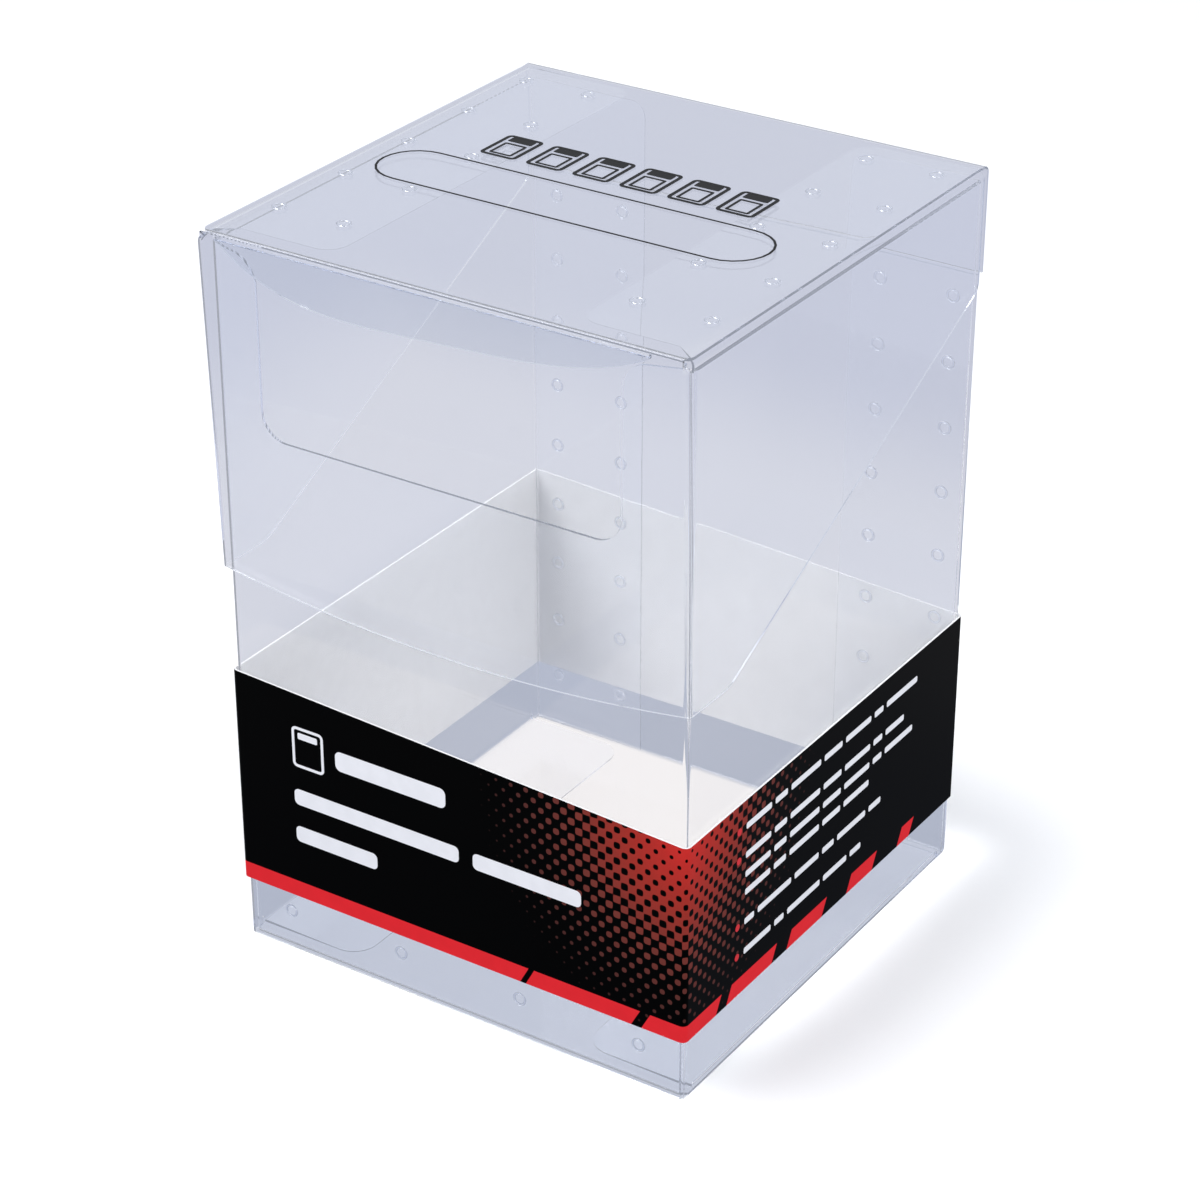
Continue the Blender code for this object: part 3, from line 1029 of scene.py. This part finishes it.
@dataclass
class Hood:
    """Front flap and wings of the lid in one sheet, with flanges folded in under the top."""

    box: BoxSizes
    finishes: Finishes
    fold_radius: float = 0.8 * MM
    foot_back: float = 12.5 * MM
    foot_corner: float = 6 * MM
    foot_bulge: float = 4 * MM
    rear_foot: float = 119 * MM
    rear_corner: float = 2.5 * MM
    crest_fall: float = 0.12 * MM
    flange_radius: float = 1.15 * MM
    flange_start: float = 0.9 * MM
    flange_front: float = 1.3 * MM
    flange_slot: float = 5 * MM
    flange_corner: float = 4 * MM
    flange_tip: float = 0.08  # share of the sheet's thickness at the flanges' free edges

    def make(self) -> None:
        """Builds the sheet."""
        box, half = self.box, self.box.sheet / 2
        wing_low, wing_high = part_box("right_lid_wing")
        flange_low, flange_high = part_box("right_wing_flange")
        side, front, rear, foot = box.lid_x - half, box.lid_front_y + half, wing_high.y, wing_low.z
        route = Route([(-side, rear), (-side, front), (side, front), (side, rear)], [self.fold_radius] * 2)
        flange_z, reach = (flange_low.z + flange_high.z) / 2, side - flange_low.x
        tuck = Route([(reach, flange_z), (0.0, flange_z), (0.0, foot)], [self.flange_radius])
        root = flange_z - tuck.runs[2].trim
        tilt = (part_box("lid_front_flap")[1].y - box.sheet - box.lid_front_y) / (box.top_z - foot)
        edges = (route.runs[1].end, route.runs[2].end)

        def rise(inward: float) -> float:
            """Flat height of a point of a flange at a distance in from the wing."""
            return flange_z - tuck.distance(1, tuck.along(0, reach - inward))

        def wing(y: float, height: float, radius: float = 0.0) -> tuple[Corner, Corner]:
            """The left and right corners at a place along the wings and a flat height."""
            return (route.along(0, rear - y), height, radius), (route.along(2, y - front), height, radius)

        foot_corners = (
            wing(rear, self.rear_foot, self.rear_corner),
            wing(front + self.foot_back, foot, self.foot_corner),
        )
        top_corners = (
            wing(rear, rise(reach), self.flange_corner),
            wing(flange_low.y, rise(reach), self.flange_corner),
            wing(flange_low.y, rise(self.flange_slot)),
            wing(front + self.flange_front, root),
            wing(front + self.flange_start, root),
        )
        crest = box.top_z - self.crest_fall
        sheet = FlatSheet("hood_sheet", box.sheet, self.finishes)
        sheet.cut(
            [
                *(left for left, _ in foot_corners),
                *((edge, foot, 0.0) for edge in edges),
                *(right for _, right in reversed(foot_corners)),
                *(right for _, right in top_corners),
                *((edge, crest, 0.0) for edge in reversed(edges)),
                *(left for left, _ in reversed(top_corners)),
            ]
        )
        sheet.curve_edge(Side.ACROSS, foot, edges, 31, lambda share: -self.foot_bulge * (1 - share**2))

        def place(flat: Vector) -> Vector:
            """Where a flat point goes: round the flap and wings, and in the flanges under the top."""
            inward, height = -flat.z, flat.y
            if flat.y > root and not edges[0] < flat.x < edges[1]:
                thin = self.flange_tip if flat.y > rise(self.flange_corner) else 1.0
                inward, height = tuck.point(tuck.along(1, flange_z - flat.y), flat.z * thin)
            across = route.point(flat.x, -inward)
            share = max(0.0, min(1.0, (rear - across.y) / (rear - front)))
            return Vector((across.x, across.y + tilt * (box.top_z - height) * share, height))

        piece = sheet.fold(place, route.slices(), [flange_z - tuck.distance(1, at) for at in tuck.slices()])
        settle(piece, "lid", "clear_sheet", "lid_front_flap", *both("lid_wing", "wing_flange"))


# ---------------------------------------------------------------- band and prints
@dataclass
class PaperBand:
    """Printed board folded round the body."""

    outside: Material
    inside: Material
    corner: float = 0.8 * MM
    board: float = 0.35 * MM
    fall: float = 4.5 * MM

    def make(self) -> None:
        """Builds the band. Its inside and its edges are plain."""
        low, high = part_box("paper_band")
        middle, wall = (low + high) / 2, Vector((self.board, self.board, 0))
        shape = bmesh.new()
        bmesh.ops.create_cube(shape, size=1.0)
        bmesh.ops.scale(shape, vec=high - low - 2 * wall, verts=shape.verts)
        bmesh.ops.translate(shape, vec=middle, verts=shape.verts)
        ends = [face for face in shape.faces if abs(face.normal.z) > 0.5]
        bmesh.ops.delete(shape, geom=ends, context="FACES_ONLY")
        for vert in shape.verts:
            if vert.co.x > 0 and vert.co.z > middle.z:
                vert.co.z -= self.fall
        folds = [edge for edge in shape.edges if not edge.is_boundary]
        how = {"offset_type": "OFFSET", "affect": "EDGES", "segments": 5, "profile": 0.5, "material": -1}
        bmesh.ops.bevel(shape, geom=folds, offset=self.corner, **how)
        bmesh.ops.recalc_face_normals(shape, faces=shape.faces[:])
        bmesh.ops.solidify(shape, geom=shape.faces[:], thickness=-self.board)
        bmesh.ops.recalc_face_normals(shape, faces=shape.faces[:])
        for face in shape.faces:
            outward = (face.calc_center_median() - middle) * Vector((1, 1, 0))
            face.material_index = int(abs(face.normal.z) > 0.5 or face.normal.dot(outward) <= 0)
        piece = as_object("printed_band", shape, [self.outside, self.inside])
        settle(piece, "band", "printed_board", "paper_band")


class Marks:
    """Thin printed shapes, built flat and then laid on a face."""

    def __init__(self, name: str) -> None:
        """Starts an empty print."""
        self.name = name
        self.mesh = bmesh.new()

    def bar(self, centre: Pair, size: Pair, radius: float) -> list[Vert]:
        """A filled bar with round corners.

        Args:
            centre: its middle.
            size: its length and height.
            radius: corner radius.

        Returns:
            The outline's points.
        """
        made = bmesh.ops.create_grid(self.mesh, x_segments=1, y_segments=1, size=0.5)["verts"]
        bmesh.ops.scale(self.mesh, vec=(*size, 1.0), verts=made)
        bmesh.ops.translate(self.mesh, vec=(*centre, 0.0), verts=made)
        return round_corners(self.mesh, made, radius, 6, True)

    def ring(self, centre: Pair, size: Pair, radius: float, line: float) -> None:
        """An outline with round corners.

        Args:
            centre: its middle.
            size: its outer length and height.
            radius: outer corner radius.
            line: width of the line.
        """
        face = self.bar(centre, size, radius)[0].link_faces[0]
        how = {"use_even_offset": True, "use_boundary": True}
        bmesh.ops.inset_region(self.mesh, faces=[face], thickness=line, **how)
        bmesh.ops.delete(self.mesh, geom=[face], context="FACES_ONLY")

    def dot(self, centre: Pair, radius: float) -> None:
        """A filled round dot."""
        place = Matrix.Translation((*centre, 0.0))
        bmesh.ops.create_circle(self.mesh, cap_ends=True, segments=24, radius=radius, matrix=place)

    def lay(self, place: Matrix, ink: Material, body: str) -> None:
        """Thickens the print and lays it on a face.

        Args:
            place: takes the flat print to its face, with +Z out of it.
            ink: its finish.
            body: the CAD body that it moves with.
        """
        for face in self.mesh.faces:
            face.normal_update()
        bmesh.ops.reverse_faces(self.mesh, faces=[face for face in self.mesh.faces if face.normal.z < 0])
        bmesh.ops.solidify(self.mesh, geom=self.mesh.faces[:], thickness=INK)
        bmesh.ops.transform(self.mesh, matrix=place, verts=self.mesh.verts)
        bmesh.ops.recalc_face_normals(self.mesh, faces=self.mesh.faces[:])
        settle(as_object(self.name, self.mesh, [ink]), body, "printed_board")


@dataclass
class LidPrint:
    """Write-on strip on the lid's top, with a plain row of slab outlines behind it."""

    top_z: float
    strip_centre: Pair = (-2.5 * MM, -6.7 * MM)
    strip_size: Pair = (79 * MM, 14.6 * MM)
    strip_radius: float = 7.29 * MM
    strip_line: float = 0.45 * MM
    slab_size: Pair = (7.6 * MM, 10.0 * MM)
    slab_corner: float = 1.1 * MM
    slab_line: float = 0.75 * MM
    slab_pitch: float = 9.7 * MM
    slab_count: int = 6
    slab_row: Pair = (-1.5 * MM, 9.6 * MM)
    label_up: float = 3.2 * MM
    label_size: Pair = (5.016 * MM, 2.0 * MM)
    label_corner: float = 0.3 * MM
    window_down: float = 1.2 * MM
    window_size: Pair = (4.712 * MM, 5.4 * MM)
    window_corner: float = 0.4 * MM
    window_line: float = 0.55 * MM

    def make(self, ink: Material) -> None:
        """Builds the strip and the row of slabs in one ink.

        Args:
            ink: their finish.
        """
        place = Matrix.Translation((0.0, 0.0, self.top_z))
        strip = Marks("write_on_strip")
        strip.ring(self.strip_centre, self.strip_size, self.strip_radius, self.strip_line)
        strip.lay(place, ink, "lid")
        slabs = Marks("slab_symbols")
        middle, y = self.slab_row
        for index in range(self.slab_count):
            x = middle + (index - (self.slab_count - 1) / 2) * self.slab_pitch
            slabs.ring((x, y), self.slab_size, self.slab_corner, self.slab_line)
            slabs.bar((x, y + self.label_up), self.label_size, self.label_corner)
            slabs.ring((x, y - self.window_down), self.window_size, self.window_corner, self.window_line)
        slabs.lay(place, ink, "lid")


@dataclass
class BandMarks:
    """Plain bars that stand where the band's two faces carry lines of print."""

    title_left: float = -35 * MM
    title_rows: tuple[tuple[float, float, float, tuple[float, ...]], ...] = (  # height, size, indent, lengths
        (45.2 * MM, 4.0 * MM, 9.6 * MM, (24.0 * MM,)),
        (34.6 * MM, 3.3 * MM, 0.0, (36.2 * MM, 22.7 * MM)),
        (26.7 * MM, 3.3 * MM, 0.0, (18.2 * MM,)),
    )
    title_gap: float = 3 * MM
    title_round: float = 0.3
    slab_centre: Pair = (-31.5 * MM, 45.2 * MM)
    slab_size: Pair = (7 * MM, 8.4 * MM)
    slab_corner: float = 1.0 * MM
    slab_line: float = 0.55 * MM
    label_up: float = 2.4 * MM
    label_size: Pair = (4.34 * MM, 1.3 * MM)
    label_corner: float = 0.3 * MM
    list_left: float = -29 * MM
    list_rows: tuple[tuple[float, float, bool], ...] = (  # height, length, and whether a dot begins it
        (46.9 * MM, 61.3 * MM, True),
        (41.0 * MM, 55.9 * MM, True),
        (37.1 * MM, 59.4 * MM, False),
        (33.4 * MM, 43.6 * MM, False),
        (27.3 * MM, 48.2 * MM, True),
        (21.1 * MM, 41.2 * MM, True),
    )
    words: tuple[float, ...] = (8.4 * MM, 4.1 * MM, 10.2 * MM, 6.3 * MM, 9.1 * MM, 3.2 * MM, 11.4 * MM)
    word_gap: float = 1.3 * MM
    word_least: float = 1.5 * MM
    word_height: float = 1.25 * MM
    word_corner: float = 0.35 * MM
    dot_left: float = 2.3 * MM
    dot_radius: float = 0.7 * MM

    def make(self, white: Material, red: Material) -> None:
        """Builds the title bars, the list bars and the list's dots.

        Args:
            white: ink of the bars.
            red: ink of the dots.
        """
        low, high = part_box("paper_band")
        upright, lift = Matrix.Rotation(QUARTER, 4, "X"), Matrix.Translation((0.0, 0.0, INK))
        front = Matrix.Translation((0.0, low.y, 0.0)) @ upright @ lift
        right = Matrix.Translation((high.x, 0.0, 0.0)) @ Matrix.Rotation(QUARTER, 4, "Z") @ upright @ lift
        title, lines, dots = Marks("title_bars"), Marks("list_bars"), Marks("list_dots")
        title.ring(self.slab_centre, self.slab_size, self.slab_corner, self.slab_line)
        label = (self.slab_centre[0], self.slab_centre[1] + self.label_up)
        title.bar(label, self.label_size, self.label_corner)
        for height, tall, indent, lengths in self.title_rows:
            left = self.title_left + indent
            for length in lengths:
                title.bar((left + length / 2, height), (length, tall), tall * self.title_round)
                left += length + self.title_gap
        word = 0
        for height, length, dotted in self.list_rows:
            left, end = self.list_left, self.list_left + length
            if dotted:
                dots.dot((left - self.dot_left, height), self.dot_radius)
            while left < end - self.word_least:
                span = min(self.words[word % len(self.words)], end - left)
                lines.bar((left + span / 2, height), (span, self.word_height), self.word_corner)
                left += span + self.word_gap
                word += 1
        title.lay(front, white, "band")
        lines.lay(right, white, "band")
        dots.lay(right, red, "band")


@dataclass
class Welds:
    """Small round weld spots that hold two layers of sheet together."""

    box: BoxSizes
    plastic: Material
    ring_radius: float = 1.15 * MM
    ring_thick: float = 0.26 * MM
    ring_sides: int = 6
    ring_steps: int = 20
    flatness: float = 0.55
    smooth_below: float = 80.0
    back_x: tuple[float, ...] = (-42.0 * MM, -27.2 * MM, 27.8 * MM, 42.6 * MM)
    back_first: float = 11.5 * MM
    back_pitch: float = 13.1 * MM
    back_rows: int = 9
    glue_x: tuple[float, ...] = (-38.0 * MM, -13.0 * MM, 13.0 * MM, 38.0 * MM)
    glue_z: float = 8.0 * MM
    lid_x: tuple[float, ...] = (-43.5 * MM, -29.8 * MM, 28.6 * MM, 42.6 * MM)
    lid_y: tuple[float, ...] = (-34.0 * MM, -15.5 * MM, 3.0 * MM, 21.5 * MM, 40.0 * MM)

    def spot(self, shape: Shape, place: Matrix) -> None:
        """Adds one ring, spun about its middle.

        Args:
            shape: the mesh it goes into.
            place: takes the flat ring to its face.
        """
        start = Matrix.Translation((self.ring_radius, 0.0, 0.0)) @ Matrix.Rotation(QUARTER, 4, "X")
        made = bmesh.ops.create_circle(
            shape, cap_ends=False, segments=self.ring_sides, radius=self.ring_thick, matrix=start
        )["verts"]
        bmesh.ops.spin(
            shape,
            geom=[*made, *{edge for vert in made for edge in vert.link_edges}],
            cent=(0, 0, 0),
            axis=(0, 0, 1),
            angle=2 * math.pi,
            steps=self.ring_steps,
            use_merge=True,
            use_duplicate=False,
        )
        fresh = [vert for vert in shape.verts if not vert.tag]
        bmesh.ops.scale(shape, vec=(1.0, 1.0, self.flatness), verts=fresh)
        bmesh.ops.transform(shape, matrix=place, verts=fresh)
        for vert in fresh:
            vert.tag = True

    def grid(self, name: str, body: str, places: Iterable[Corner], turn: Matrix) -> None:
        """Builds a set of spots as one piece.

        Args:
            name: the piece's name.
            body: the CAD body that it moves with.
            places: where each spot goes.
            turn: takes a flat ring to the way that its face looks.
        """
        shape = bmesh.new()
        for place in places:
            self.spot(shape, Matrix.Translation(place) @ turn)
        bmesh.ops.recalc_face_normals(shape, faces=shape.faces[:])
        settle(as_object(name, shape, [self.plastic], self.smooth_below), body, "clear_sheet")

    def make(self) -> None:
        """Builds the spots of the back, the glue flap and the lid's top."""
        box = self.box
        flat, upright = Matrix.Identity(4), Matrix.Rotation(QUARTER, 4, "X")
        back_y = (box.rear_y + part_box("back_panel")[0].y) / 2
        rows = [self.back_first + self.back_pitch * row for row in range(self.back_rows)]
        self.grid("back_welds", "box_body", [(x, back_y, z) for x in self.back_x for z in rows], upright)
        glue_y = (box.front_y + box.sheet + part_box("bottom_glue_flap")[0].y) / 2
        self.grid("glue_flap_welds", "box_body", [(x, glue_y, self.glue_z) for x in self.glue_x], upright)
        lid_z = (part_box("right_wing_flange")[1].z + box.top_z - box.sheet) / 2
        self.grid("lid_welds", "lid", [(x, y, lid_z) for x in self.lid_x for y in self.lid_y], flat)


# ---------------------------------------------------------------- studio
@dataclass(frozen=True)
class Studio:
    """Pale floor, soft light and the camera."""

    camera_place: Corner = (0.297, -0.453, 0.359)
    camera_heading: Corner = (-0.482, 0.733, -0.479)
    lens: float = 102.0
    sensor: float = 36.0
    nearest: float = 0.01
    lamp_aim: Corner = (0.0, 0.0, 0.07)
    lamps: tuple[tuple[str, Corner, float, float], ...] = (  # name, place, size and power
        ("key", (-0.5, -0.5, 1.1), 0.9, 11.5),
        ("fill", (0.9, -0.3, 0.7), 0.8, 5.2),
    )
    sky: Colour = (0.72, 0.744, 0.8)
    floor_half: float = 3.0
    floor_drop: float = 0.1 * MM
    bounces: int = 32

    def make(self) -> None:
        """Builds the studio."""
        scene = bpy.context.scene
        scene.view_settings.view_transform = "Standard"
        for name in ("max_bounces", "transmission_bounces", "glossy_bounces"):
            setattr(scene.cycles, name, self.bounces)
        scene.cycles.transparent_max_bounces = 2 * self.bounces
        world = bpy.data.worlds.new("studio")
        world.use_nodes = True
        sky = Nodes(world.node_tree)
        seen = sky.add("ShaderNodeLightPath").outputs["Is Camera Ray"]
        background = world.node_tree.nodes["Background"]
        sky.feed(background.inputs["Color"], sky.mix(seen, self.sky, (1.0, 1.0, 1.0)))
        scene.world = world
        shape = bmesh.new()
        bmesh.ops.create_grid(shape, x_segments=1, y_segments=1, size=self.floor_half)
        floor = as_object("floor", shape, [StudioFloor().make()])
        floor.location.z = -self.floor_drop
        for name, place, size, power in self.lamps:
            light = bpy.data.lights.new(name, "AREA")
            light.energy, light.size = power, size
            self.stand(light, place, Vector(self.lamp_aim) - Vector(place))
        camera = bpy.data.cameras.new("camera")
        camera.lens, camera.sensor_width, camera.clip_start = self.lens, self.sensor, self.nearest
        scene.camera = self.stand(camera, self.camera_place, Vector(self.camera_heading))

    def stand(self, data: bpy.types.ID, place: Corner, heading: Vector) -> Object:
        """Stands a lamp or the camera at its place.

        Args:
            data: the lamp or camera.
            place: where it stands.
            heading: which way it looks.

        Returns:
            Its object.
        """
        thing = bpy.data.objects.new(data.name, data)
        bpy.context.scene.collection.objects.link(thing)
        thing.location = place
        thing.rotation_mode = "QUATERNION"
        thing.rotation_quaternion = heading.to_track_quat("-Z", "Y")
        return thing


def main() -> None:
    """Builds the studio and every piece of the box."""
    logging.basicConfig(level=logging.INFO, format="%(name)s: %(message)s")
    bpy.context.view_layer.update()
    box = BoxSizes.read()
    build_waviness()
    build_clouding()
    Studio().make()
    plastic = ClearPlastic("clear_plastic", tint=(0.97, 0.975, 0.985)).make()
    edge = ClearPlastic("cut_edge", tint=(0.68, 0.72, 0.81), index=1.2, haze_glow_strength=0.0).make()
    lip = ClearPlastic("lip_plastic", tint=(0.84, 0.86, 0.89)).make()
    weld = ClearPlastic("weld_plastic", tint=(0.8, 0.82, 0.87), index=1.6, wave_depth=0.0).make()
    BodySheet(box, (plastic, edge)).make()
    BackSheet(box, (plastic, edge)).make()
    LidSheet(box, (plastic, edge), (lip, edge)).make()
    Hood(box, (plastic, edge)).make()
    Welds(box, weld).make()
    LidPrint(box.top_z).make(Matt("black_ink", srgb(8, 8, 9)).make())
    band_low, band_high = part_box("paper_band")
    printed = BandPrint(corner_top=band_high.z - 3.8 * MM, foot=band_low.z).make()
    PaperBand(printed, Matt("plain_board", (0.7, 0.7, 0.705), roughness=0.7).make()).make()
    white = Matt("white_ink", srgb(238, 238, 240)).make()
    BandMarks().make(white, Matt("red_ink", srgb(214, 40, 47)).make())


if __name__ == "__main__":
    main()
